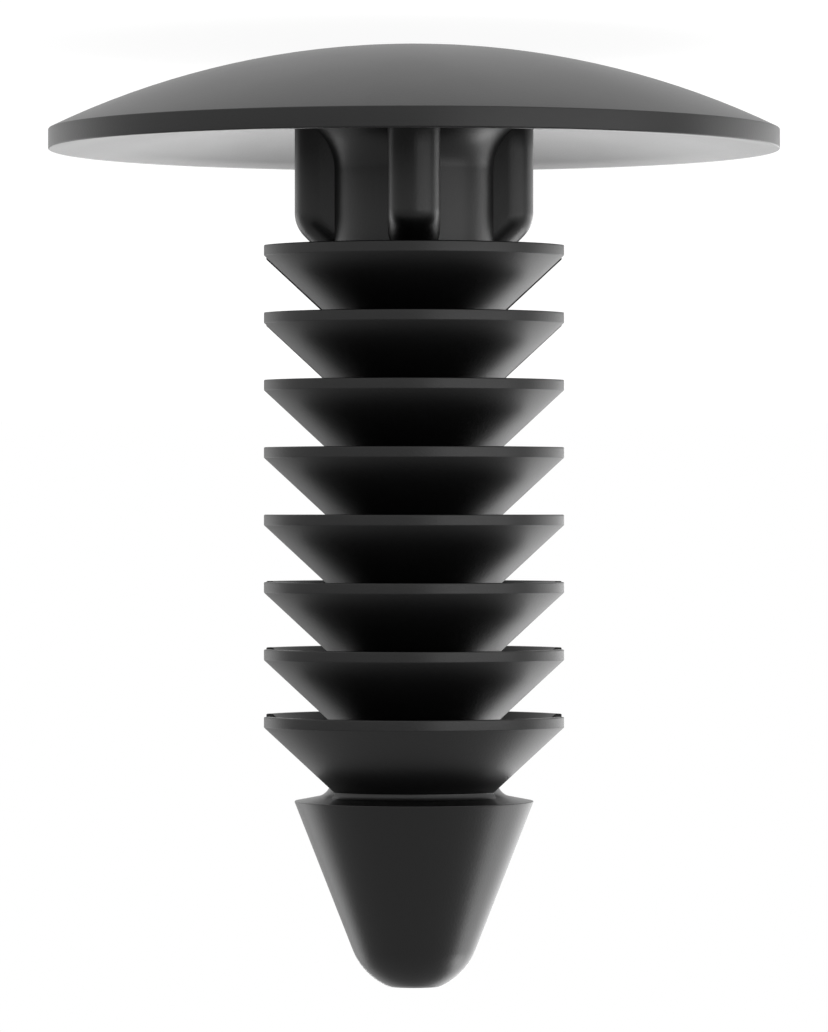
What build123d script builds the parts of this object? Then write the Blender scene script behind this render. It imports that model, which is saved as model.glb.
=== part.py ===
from build123d import *
from math import acos, atan2, cos, hypot, radians, sin, sqrt, tan
import os

# Fir tree trim clip: a one-piece nylon push-in fastener. A domed head covers the panel hole, four
# ribs centre it in the trim, and a stack of flexible cone fins springs past the sheet and holds.
# It stands on its head: the origin is the middle of the dome, and +Z points along the stem to the tip.

# Head, in millimetres
head_radius = 9.0
crown_height = 2.05
rim_height = 0.52
land_width = 0.30
dish_depth = 0.86
head_root_radius = 1.2

# Core
core_radius = 2.05

# Ribbed collar
collar_radius = 2.94
rib_width = 1.24
rib_length = 1.87
rib_shoulder_radius = 0.8
rib_edge_radius = 0.17
rib_root_depth = 0.4

# Fins. The first one's distance is from the seat under the head's rim to the fin rim's head side
fin_count = 8
first_fin = 2.38
fin_pitch = 1.648
fin_radius = 3.865
fin_angle = 44.5
fin_rim_height = 0.26
fin_land = 0.14
slot_width = 2.40

# Web that carries the fins in front of and behind the slot
web_radius = 2.30
web_start = 2.65
web_foot = 0.22

# Pointed tip. Its shoulder is this far past the last fin
last_fin_to_shoulder = 2.11
tip_radius = 2.95
tip_length = 4.56
shoulder_angle = 10.8
neck_root_radius = 0.40
nose_radius = 1.62
nose_flat_radius = 0.65

# Places along the stem, from the middle of the dome
seat = crown_height + rim_height
underside = seat - dish_depth
fin_places = [seat + first_fin + fin_pitch * n for n in range(fin_count)]
shoulder = fin_places[-1] + last_fin_to_shoulder
overall_length = shoulder + tip_length

# The shoulder slopes up from the tip's edge to the core
neck_root = shoulder - (tip_radius - core_radius) * tan(radians(shoulder_angle))

# The nose is a ball on the axis, cut off flat. The tip's cone runs from the shoulder's edge to touch it
nose_centre = overall_length - sqrt(nose_radius**2 - nose_flat_radius**2)
edge_to_centre = nose_centre - shoulder
tip_half_angle = acos(nose_radius / hypot(tip_radius, edge_to_centre)) - atan2(edge_to_centre, tip_radius)
nose_start = (nose_radius * cos(tip_half_angle), nose_centre + nose_radius * sin(tip_half_angle))
tip_slope = (-sin(tip_half_angle), cos(tip_half_angle))

# A corner is picked by its distance from the axis, to within this
pick = 0.001


# Head, core and tip are round, so one half section is turned about the axis
with BuildPart() as trim_clip:
    with BuildSketch(Plane.XZ) as half_section:
        with BuildLine():
            TangentArc((0, 0), (head_radius, crown_height), tangent=(1, 0))
            Polyline(
                (head_radius, crown_height),
                (head_radius, seat),
                (head_radius - land_width, seat),
            )
            TangentArc((0, underside), (head_radius - land_width, seat), tangent=(1, 0))
            Line((0, underside), (0, 0))
        make_face()
        with BuildLine():
            Polyline(
                (core_radius, underside / 2),
                (core_radius, neck_root),
                (tip_radius, shoulder),
                nose_start,
            )
            TangentArc(nose_start, (nose_flat_radius, overall_length), tangent=tip_slope)
            Polyline(
                (nose_flat_radius, overall_length),
                (0, overall_length),
                (0, underside / 2),
                (core_radius, underside / 2),
            )
        make_face()
        on_core = half_section.vertices().filter_by(lambda v: abs(v.X - core_radius) < pick)
        fillet(on_core.sort_by(Axis.Y)[0], radius=head_root_radius)
        on_core = half_section.vertices().filter_by(lambda v: abs(v.X - core_radius) < pick)
        fillet(on_core.sort_by(Axis.Y)[-1], radius=neck_root_radius)
    revolve(axis=Axis.Z)

# The collar: a cross of two bars with round ends and softened corners, up from inside the head.
# Its four ribs turn in at 45 degrees inside the first fin, where the round profile trims them.
rib_root = underside - rib_root_depth
rib_end = seat + rib_length

with BuildPart() as collar:
    with BuildSketch(Plane.XY.offset(rib_root)) as rib_section:
        Rectangle(2 * collar_radius, rib_width)
        Rectangle(rib_width, 2 * collar_radius)
        Circle(collar_radius, mode=Mode.INTERSECT)
        corners = rib_section.vertices().filter_by(lambda v: hypot(v.X, v.Y) > core_radius)
        fillet(corners, radius=rib_edge_radius)
    extrude(amount=rib_end + collar_radius - rib_root)
    with BuildSketch(Plane.XZ) as rib_profile:
        Polygon(
            (0, rib_root),
            (collar_radius, rib_root),
            (collar_radius, rib_end),
            (0, rib_end + collar_radius),
            align=None,
        )
        corners = rib_profile.vertices().filter_by(lambda v: abs(v.X - collar_radius) < pick)
        fillet(corners.sort_by(Axis.Y)[-1], radius=rib_shoulder_radius)
    revolve(axis=Axis.Z, mode=Mode.INTERSECT)

# The fins: cones that open towards the head, each with a short upright rim, on a round web that
# steps out from the core and flares into the tip's shoulder. A slot through both sides parts each
# fin in two, so that it can flex.
fin_slope = 1 / tan(radians(fin_angle))

with BuildPart() as fins:
    with BuildSketch(Plane.XZ):
        Polygon(
            (0, seat + web_start - web_radius),
            (web_radius, seat + web_start),
            (web_radius, shoulder - web_foot),
            (web_radius + web_foot, shoulder),
            (0, shoulder),
            align=None,
        )
        with Locations(*[(0, place) for place in fin_places]):
            Polygon(
                (fin_radius, 0),
                (fin_radius, fin_rim_height),
                (core_radius, fin_rim_height + (fin_radius - core_radius) * fin_slope),
                (core_radius, (fin_radius - fin_land - core_radius) * fin_slope),
                (fin_radius - fin_land, 0),
                align=None,
            )
    revolve(axis=Axis.Z)
    with BuildSketch(Plane.XY.offset(seat)):
        Rectangle(2 * head_radius, slot_width)
    extrude(amount=overall_length, mode=Mode.SUBTRACT)

with trim_clip:
    add(collar.part)
    add(fins.part)

trim_clip.part.label = "trim_clip"

os.makedirs("parts", exist_ok=True)
export_step(trim_clip.part, "parts/trim_clip.step")
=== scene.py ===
from math import acos, asin, atan2, ceil, cos, hypot, pi, radians, sin, sqrt, tan

import bmesh
import bpy
from mathutils import Matrix, Vector


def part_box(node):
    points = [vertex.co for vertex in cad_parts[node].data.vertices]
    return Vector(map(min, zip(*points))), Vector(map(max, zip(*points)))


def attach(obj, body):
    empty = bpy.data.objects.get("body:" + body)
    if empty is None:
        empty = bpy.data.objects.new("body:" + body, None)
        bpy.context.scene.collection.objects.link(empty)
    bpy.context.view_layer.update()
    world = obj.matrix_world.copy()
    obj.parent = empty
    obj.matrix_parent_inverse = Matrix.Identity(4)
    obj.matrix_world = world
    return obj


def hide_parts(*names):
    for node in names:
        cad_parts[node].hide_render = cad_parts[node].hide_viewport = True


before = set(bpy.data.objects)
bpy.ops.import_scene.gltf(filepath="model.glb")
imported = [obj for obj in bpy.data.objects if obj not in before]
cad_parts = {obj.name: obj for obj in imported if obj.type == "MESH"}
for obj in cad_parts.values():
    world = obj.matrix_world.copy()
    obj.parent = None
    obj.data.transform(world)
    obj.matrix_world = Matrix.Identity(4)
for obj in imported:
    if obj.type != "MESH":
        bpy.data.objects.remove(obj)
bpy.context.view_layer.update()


# Head, core and tip: the round body of the clip, one moulding in dark nylon, turned from half its
# outline. The clip stands on its domed head with the tip up. It is drawn in millimetres, with the
# small radius that a steel mould leaves on each corner.
millimetre = 0.001
lowest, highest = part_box("trim_clip")
head_radius = highest.x / millimetre
overall_length = highest.z / millimetre
crown_height = 2.075
rim_height = 0.495
land_width = 0.30
dish_depth = 1.04
head_edge_radius = 0.035
head_root_radius = 1.38
head_root_run = 1.6
core_radius = 2.05
shoulder_angle = 10.8
neck_root_radius = 0.40
tip_radius = 2.95
tip_length = 4.56
tip_edge_radius = 0.02
nose_radius = 1.62
nose_flat_radius = 0.65
curve_error = 0.0015
steps_around = 180

seat = crown_height + rim_height
underside = seat - dish_depth
shoulder = overall_length - tip_length
neck_root = shoulder - (tip_radius - core_radius) * tan(radians(shoulder_angle))


def arc_steps(radius, sweep):
    """How many straight steps, at least two, keep an arc within curve_error of its curve."""
    widest = 2 * acos(1 - curve_error / radius)
    return max(2, ceil(abs(sweep) / widest))


def rounded(corners):
    """The outline through corners, each (across, along, radius), with an arc wherever radius isn't 0."""
    outline = []
    for i, (across, along, radius) in enumerate(corners):
        here = Vector((across, along))
        if radius == 0:
            outline.append(here)
            continue
        before = (Vector(corners[i - 1][:2]) - here).normalized()
        after = (Vector(corners[(i + 1) % len(corners)][:2]) - here).normalized()
        half_angle = before.angle(after) / 2
        centre = here + (before + after).normalized() * radius / sin(half_angle)
        start = here + before * radius / tan(half_angle) - centre
        finish = here + after * radius / tan(half_angle) - centre
        sweep = atan2(start.cross(finish), start.dot(finish))
        steps = arc_steps(radius, sweep)
        outline += [centre + Matrix.Rotation(sweep * k / steps, 2) @ start for k in range(steps + 1)]
    return outline


def shallow_arc(radius, depth, start, finish):
    """Points of a ball's face, from start to finish across. The face rises by depth over radius."""
    ball = (radius**2 + depth**2) / (2 * depth)
    steps = arc_steps(ball, asin(finish / ball) - asin(start / ball))
    spread = [start + (finish - start) * k / steps for k in range(steps + 1)]
    return [(across, ball - sqrt(ball**2 - across**2)) for across in spread]


def lofted(name, rings):
    """A closed solid through rings of points, each as long as the next or a single point."""
    mesh = bmesh.new()
    rings = [[mesh.verts.new(point) for point in ring] for ring in rings]
    for ring, following in zip(rings, rings[1:]):
        count = max(len(ring), len(following))
        for k in range(count):
            corners = ring[k % len(ring)], ring[(k + 1) % len(ring)]
            corners += following[(k + 1) % len(following)], following[k % len(following)]
            mesh.faces.new(dict.fromkeys(corners))
    for end in rings[0], rings[-1]:
        if len(end) > 1:
            mesh.faces.new(end)
    bmesh.ops.recalc_face_normals(mesh, faces=mesh.faces)
    solid = bpy.data.objects.new(name, bpy.data.meshes.new(name))
    mesh.to_mesh(solid.data)
    mesh.free()
    bpy.context.scene.collection.objects.link(solid)
    return solid


def turned(name, outline):
    """A solid of revolution from an outline that starts and ends on the axis."""
    turns = [2 * pi * k / steps_around for k in range(steps_around)]
    rings = []
    for radius, height in outline:
        turns_here = turns if radius > 0 else turns[:1]
        rings.append([(radius * cos(turn), radius * sin(turn), height) for turn in turns_here])
    return lofted(name, rings)


# The nose is a ball on the axis, cut off flat. The tip's cone runs from the shoulder to touch it
nose_centre = overall_length - sqrt(nose_radius**2 - nose_flat_radius**2)
edge_to_centre = nose_centre - shoulder
tip_half_angle = acos(nose_radius / hypot(tip_radius, edge_to_centre)) - atan2(edge_to_centre, tip_radius)
nose_sweep = acos(nose_flat_radius / nose_radius) - tip_half_angle
nose_steps = arc_steps(nose_radius, nose_sweep)
nose_turns = [tip_half_angle + nose_sweep * k / nose_steps for k in range(nose_steps + 1)]

# The dish's curve stops short of the core, and a straight run from there carries the root's radius
dish_radius = head_radius - land_width
root_reach = core_radius + head_root_run * head_root_radius
dome = shallow_arc(head_radius, crown_height, 0, head_radius)
dish = shallow_arc(dish_radius, dish_depth, root_reach, dish_radius)
root_rise = shallow_arc(dish_radius, dish_depth, core_radius, root_reach)[0][1]
body_outline = rounded(
    [(across, rise, 0) for across, rise in dome[:-1]]
    + [(head_radius, crown_height, head_edge_radius)]
    + [(head_radius, seat, head_edge_radius)]
    + [(across, underside + rise, 0) for across, rise in reversed(dish)]
    + [(core_radius, underside + root_rise, head_root_radius)]
    + [(core_radius, neck_root, neck_root_radius)]
    + [(tip_radius, shoulder, tip_edge_radius)]
    + [(nose_radius * cos(turn), nose_centre + nose_radius * sin(turn), 0) for turn in nose_turns]
    + [(0, overall_length, 0)]
)
body = turned("body", body_outline)


# Ribbed collar: four ribs under the head that centre the clip in its hole. They are moulded in one
# with the core, with full round ends that follow the shoulder as it turns in under the first fin.
rib_count = 4
collar_radius = 2.94
rib_width = 1.28
rib_length = 1.88
rib_shoulder_radius = 0.8
rib_shoulder_turn = radians(45)
rib_root_depth = 0.4
rib_inner_radius = 1.55
rib_end_steps = 22


def rib_section(reach, height, tilt):
    """The cross of ribs, cut square to their outer profile at this reach, height and tilt."""
    half_width = rib_width / 2
    rib = [(half_width, -half_width, height - half_width * sin(tilt))]
    for k in range(rib_end_steps + 1):
        turn = pi * (k / rib_end_steps - 0.5)
        inward = half_width * (1 - cos(turn))
        rib.append((reach - inward * cos(tilt), half_width * sin(turn), height - inward * sin(tilt)))
    turns = [Matrix.Rotation(2 * pi * n / rib_count, 3, "Z") for n in range(rib_count)]
    return [turn @ Vector(point) for turn in turns for point in rib]


rib_end = seat + rib_length
rib_profile = rounded([
    (collar_radius, underside - rib_root_depth, 0),
    (collar_radius, rib_end, rib_shoulder_radius),
    (rib_inner_radius, rib_end + collar_radius - rib_inner_radius, 0),
])
shoulder_steps = len(rib_profile[1:-1]) - 1
shoulder_tilts = [rib_shoulder_turn * k / shoulder_steps for k in range(shoulder_steps + 1)]
rib_tilts = [0, *shoulder_tilts, rib_shoulder_turn]
collar = lofted("collar", [rib_section(*point, tilt) for point, tilt in zip(rib_profile, rib_tilts)])


# Fins: cones that open towards the head, each with a short upright rim, on a round web. A slot
# through both sides parts the stack into two halves, so that the fins can flex past the sheet.
fin_count = 8
first_fin = 2.38
fin_pitch = 1.648
fin_radius = 3.865
fin_angle = 44.5
fin_rim_height = 0.26
fin_land = 0.14
fin_edge_radius = 0.03
fin_root_radius = 0.10
slot_width = 2.40
slot_edge_radius = 0.022
slot_edge_steps = 3
web_radius = 2.30
web_start = 2.65
web_foot_radius = 0.165
web_foot_sink = 0.01
web_inner_radius = 1.5
steps_along_fin = 72

fin_slope = 1 / tan(radians(fin_angle))
stack_corners = [
    (web_inner_radius, seat + web_start - web_radius + web_inner_radius, 0),
    (web_radius, seat + web_start, fin_edge_radius),
]
for n in range(fin_count):
    fin = seat + first_fin + fin_pitch * n
    stack_corners += [
        (web_radius, fin + (fin_radius - fin_land - web_radius) * fin_slope, fin_root_radius),
        (fin_radius - fin_land, fin, fin_edge_radius),
        (fin_radius, fin, fin_edge_radius),
        (fin_radius, fin + fin_rim_height, fin_edge_radius),
        (web_radius, fin + fin_rim_height + (fin_radius - web_radius) * fin_slope, fin_root_radius),
    ]

# The last fin meets the web where the foot's radius starts, so it has no root radius on that side
stack_corners[-1] = (*stack_corners[-1][:2], 0)
web_foot = shoulder - (tip_radius - web_radius) * tan(radians(shoulder_angle)) + web_foot_sink
stack_corners += [
    (web_radius, web_foot, web_foot_radius),
    (tip_radius - web_foot_radius, shoulder, 0),
    (web_inner_radius, shoulder, 0),
]
stack_outline = rounded(stack_corners)


def drawn_in(outline, depth):
    """A closed outline moved in by this depth, each point along the line that halves its corner."""
    moved = []
    for i, here in enumerate(outline):
        before = (here - outline[i - 1]).normalized()
        after = (outline[(i + 1) % len(outline)] - here).normalized()
        inward = Vector((-before.y - after.y, before.x + after.x)).normalized()
        moved.append(here + inward * depth / inward.dot(Vector((-after.y, after.x))))
    return moved


def slot_ring(outline, side, way, from_middle):
    """The stack's outline where a flat cut runs through it, this far from the middle of the slot."""
    return [
        (way * sqrt(radius**2 - from_middle**2), side * from_middle, height) for radius, height in outline
    ]


def fin_stack(name, side):
    """One half of the fins and their web, with softened edges where the slot parts them."""
    round_start = slot_width / 2 + slot_edge_radius
    softened = []
    for k in range(slot_edge_steps, 0, -1):
        turn = pi / 2 * k / slot_edge_steps
        outline = drawn_in(stack_outline, slot_edge_radius * (1 - cos(turn)))
        softened.append((outline, round_start - slot_edge_radius * sin(turn)))
    rings = [slot_ring(outline, side, 1, from_middle) for outline, from_middle in softened]
    for k in range(steps_along_fin + 1):
        ring = []
        for radius, height in stack_outline:
            start = asin(round_start / radius)
            turn = start + (pi - 2 * start) * k / steps_along_fin
            ring.append((radius * cos(turn), side * radius * sin(turn), height))
        rings.append(ring)
    rings += [slot_ring(outline, side, -1, from_middle) for outline, from_middle in reversed(softened)]
    return lofted(name, rings)


front_fins = fin_stack("front_fins", -1)
back_fins = fin_stack("back_fins", 1)


# The whole clip is one solid: the collar and both stacks of fins are joined to the body. The surface
# is shaded smooth between its sharp corners, and its large faces keep their own slope. This is done
# before the clip is brought down to metres, because the faces are too small for it afterwards.
smooth_angle = 32

for part in collar, front_fins, back_fins:
    join = body.modifiers.new(part.name, "BOOLEAN")
    join.operation = "UNION"
    join.solver = "EXACT"
    join.object = part
depsgraph = bpy.context.evaluated_depsgraph_get()
clip = bpy.data.objects.new("clip", bpy.data.meshes.new_from_object(body.evaluated_get(depsgraph)))
clip.data.set_sharp_from_angle(angle=radians(smooth_angle))
bpy.context.scene.collection.objects.link(clip)
for part in body, collar, front_fins, back_fins:
    bpy.data.objects.remove(part)
even_shading = clip.modifiers.new("even shading", "WEIGHTED_NORMAL")
even_shading.keep_sharp = True
depsgraph = bpy.context.evaluated_depsgraph_get()
evenly_shaded = bpy.data.meshes.new_from_object(
    clip.evaluated_get(depsgraph), preserve_all_data_layers=True, depsgraph=depsgraph
)
clip.modifiers.clear()
clip.data = evenly_shaded
clip.data.transform(Matrix.Scale(millimetre, 4))

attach(clip, "root")
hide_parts("trim_clip")


# Nylon: black-dyed and moulded in a finely eroded cavity, so the surface is dull with a fine grain.
# The grain is a shallow bump. Soft clouds vary the colour and gloss a little, as the melt's flow does.
nylon_colour = (0.0045, 0.0045, 0.0047, 1)
nylon_darker = (0.0032, 0.0032, 0.0033, 1)
nylon_roughness = 0.36
nylon_roughness_range = 0.03
nylon_ior = 1.5
grain_size = 0.00006
grain_depth = 0.0000025
grain_detail = 3
cloud_size = 0.0035
cloud_detail = 4

nylon = bpy.data.materials.new("black nylon")
nylon.use_nodes = True
nodes = nylon.node_tree.nodes
links = nylon.node_tree.links
surface = nodes["Principled BSDF"]
surface.inputs["IOR"].default_value = nylon_ior

place = nodes.new("ShaderNodeTexCoord")
grain = nodes.new("ShaderNodeTexNoise")
grain.inputs["Scale"].default_value = 1 / grain_size
grain.inputs["Detail"].default_value = grain_detail
links.new(place.outputs["Object"], grain.inputs["Vector"])
bump = nodes.new("ShaderNodeBump")
bump.inputs["Distance"].default_value = grain_depth
links.new(grain.outputs["Fac"], bump.inputs["Height"])
links.new(bump.outputs["Normal"], surface.inputs["Normal"])

clouds = nodes.new("ShaderNodeTexNoise")
clouds.inputs["Scale"].default_value = 1 / cloud_size
clouds.inputs["Detail"].default_value = cloud_detail
links.new(place.outputs["Object"], clouds.inputs["Vector"])
tint = nodes.new("ShaderNodeMix")
tint.data_type = "RGBA"
tint.inputs["A"].default_value = nylon_darker
tint.inputs["B"].default_value = nylon_colour
links.new(clouds.outputs["Fac"], tint.inputs["Factor"])
links.new(tint.outputs["Result"], surface.inputs["Base Color"])
gloss = nodes.new("ShaderNodeMapRange")
gloss.inputs["To Min"].default_value = nylon_roughness - nylon_roughness_range
gloss.inputs["To Max"].default_value = nylon_roughness + nylon_roughness_range
links.new(clouds.outputs["Fac"], gloss.inputs["Value"])
links.new(gloss.outputs["Result"], surface.inputs["Roughness"])
clip.data.materials.append(nylon)


# Floor and backdrop: a matt white sweep. Camera and glossy rays see it white, but the floor keeps a
# faint shadow of the clip. The room beyond lights the clip evenly, and only the camera sees it white.
floor_side = 1.2
floor_back = 0.6
backdrop_height = 0.7
sweep_colour = 0.8
floor_white = 1.18
floor_shadow_share = 0.2
backdrop_white = 1
backdrop_shadow_share = 0
room_white = 1
room_light = 0.48


def white_sheet(name, corners, whiteness, shadow_share):
    """A flat matt sheet that camera and glossy rays see white, but for a share of its own shading."""
    sheet = bpy.data.objects.new(name, bpy.data.meshes.new(name))
    sheet.data.from_pydata(corners, [], [range(len(corners))])
    bpy.context.scene.collection.objects.link(sheet)
    paint = bpy.data.materials.new(name)
    paint.use_nodes = True
    nodes = paint.node_tree.nodes
    links = paint.node_tree.links
    nodes.remove(nodes["Principled BSDF"])
    matt = nodes.new("ShaderNodeBsdfDiffuse")
    matt.inputs["Color"].default_value = (sweep_colour, sweep_colour, sweep_colour, 1)
    white = nodes.new("ShaderNodeEmission")
    white.inputs["Strength"].default_value = whiteness
    rays = nodes.new("ShaderNodeLightPath")
    seen = nodes.new("ShaderNodeMath")
    seen.operation = "MAXIMUM"
    links.new(rays.outputs["Is Camera Ray"], seen.inputs[0])
    links.new(rays.outputs["Is Glossy Ray"], seen.inputs[1])
    share = nodes.new("ShaderNodeMath")
    share.operation = "MULTIPLY"
    share.inputs[1].default_value = 1 - shadow_share
    links.new(seen.outputs["Value"], share.inputs[0])
    mix = nodes.new("ShaderNodeMixShader")
    links.new(share.outputs["Value"], mix.inputs["Fac"])
    links.new(matt.outputs["BSDF"], mix.inputs[1])
    links.new(white.outputs["Emission"], mix.inputs[2])
    links.new(mix.outputs["Shader"], nodes["Material Output"].inputs["Surface"])
    sheet.data.materials.append(paint)


half = floor_side / 2
front_edge = [(-half, -half, 0), (half, -half, 0)]
back_edge = [(half, floor_back, 0), (-half, floor_back, 0)]
top_edge = [(half, floor_back, backdrop_height), (-half, floor_back, backdrop_height)]
white_sheet("floor", front_edge + back_edge, floor_white, floor_shadow_share)
white_sheet("backdrop", back_edge[::-1] + top_edge, backdrop_white, backdrop_shadow_share)

room = bpy.data.worlds.new("room")
bpy.context.scene.world = room
room.use_nodes = True
nodes = room.node_tree.nodes
links = room.node_tree.links
rays = nodes.new("ShaderNodeLightPath")
level = nodes.new("ShaderNodeMapRange")
level.inputs["To Min"].default_value = room_light
level.inputs["To Max"].default_value = room_white
links.new(rays.outputs["Is Camera Ray"], level.inputs["Value"])
links.new(level.outputs["Result"], nodes["Background"].inputs["Strength"])
nodes["Background"].inputs["Color"].default_value = (1, 1, 1, 1)


# Lamps: tall softboxes and low strips on a ring round the clip, stronger on the photograph's right.
# Each stands between two turns about the clip from the camera, in degrees, where the photograph's
# left is positive, and between two heights over the floor, in metres. The last value is its radiance.
lamp_distance = 0.4


def softbox(name, turns, heights, radiance):
    """A flat lamp that faces the clip and spans these turns and heights."""
    middle = radians(sum(turns) / 2)
    lamp = bpy.data.lights.new(name, "AREA")
    lamp.shape = "RECTANGLE"
    lamp.size = 2 * lamp_distance * tan(radians(turns[1] - turns[0]) / 2)
    lamp.size_y = heights[1] - heights[0]
    lamp.energy = radiance * pi * lamp.size * lamp.size_y
    box = bpy.data.objects.new(name, lamp)
    box.location = (lamp_distance * sin(middle), -lamp_distance * cos(middle), sum(heights) / 2)
    box.rotation_euler = (radians(90), 0, middle)
    bpy.context.scene.collection.objects.link(box)


softbox("right softbox", (-169, -100), (0.03, 0.40), 1.59)
softbox("low right strip", (-169, -100), (0.002, 0.03), 4.28)
softbox("high right softbox", (-130, -100), (0.25, 0.40), 3.48)
softbox("right front strip", (-78, -11), (0.002, 0.03), 5.82)
softbox("left softbox", (115, 145), (0.002, 0.25), 1.44)
softbox("back strip", (169, 191), (0.09, 0.15), 3.17)


# Camera: level with the middle of the clip, as in the photograph, and rolled half a turn, because
# the photograph shows the clip with its head up and the clip stands on its head.
camera_distance = 0.1496
lens_millimetres = 211.85
nearest_seen = 0.01

camera = bpy.data.objects.new("camera", bpy.data.cameras.new("camera"))
camera.data.lens = lens_millimetres
camera.data.clip_start = nearest_seen
camera.location = (0, -camera_distance, (lowest.z + highest.z) / 2)
camera.rotation_euler = (radians(90), radians(180), 0)
bpy.context.scene.collection.objects.link(camera)
bpy.context.scene.camera = camera

bpy.context.scene.view_settings.view_transform = "Standard"
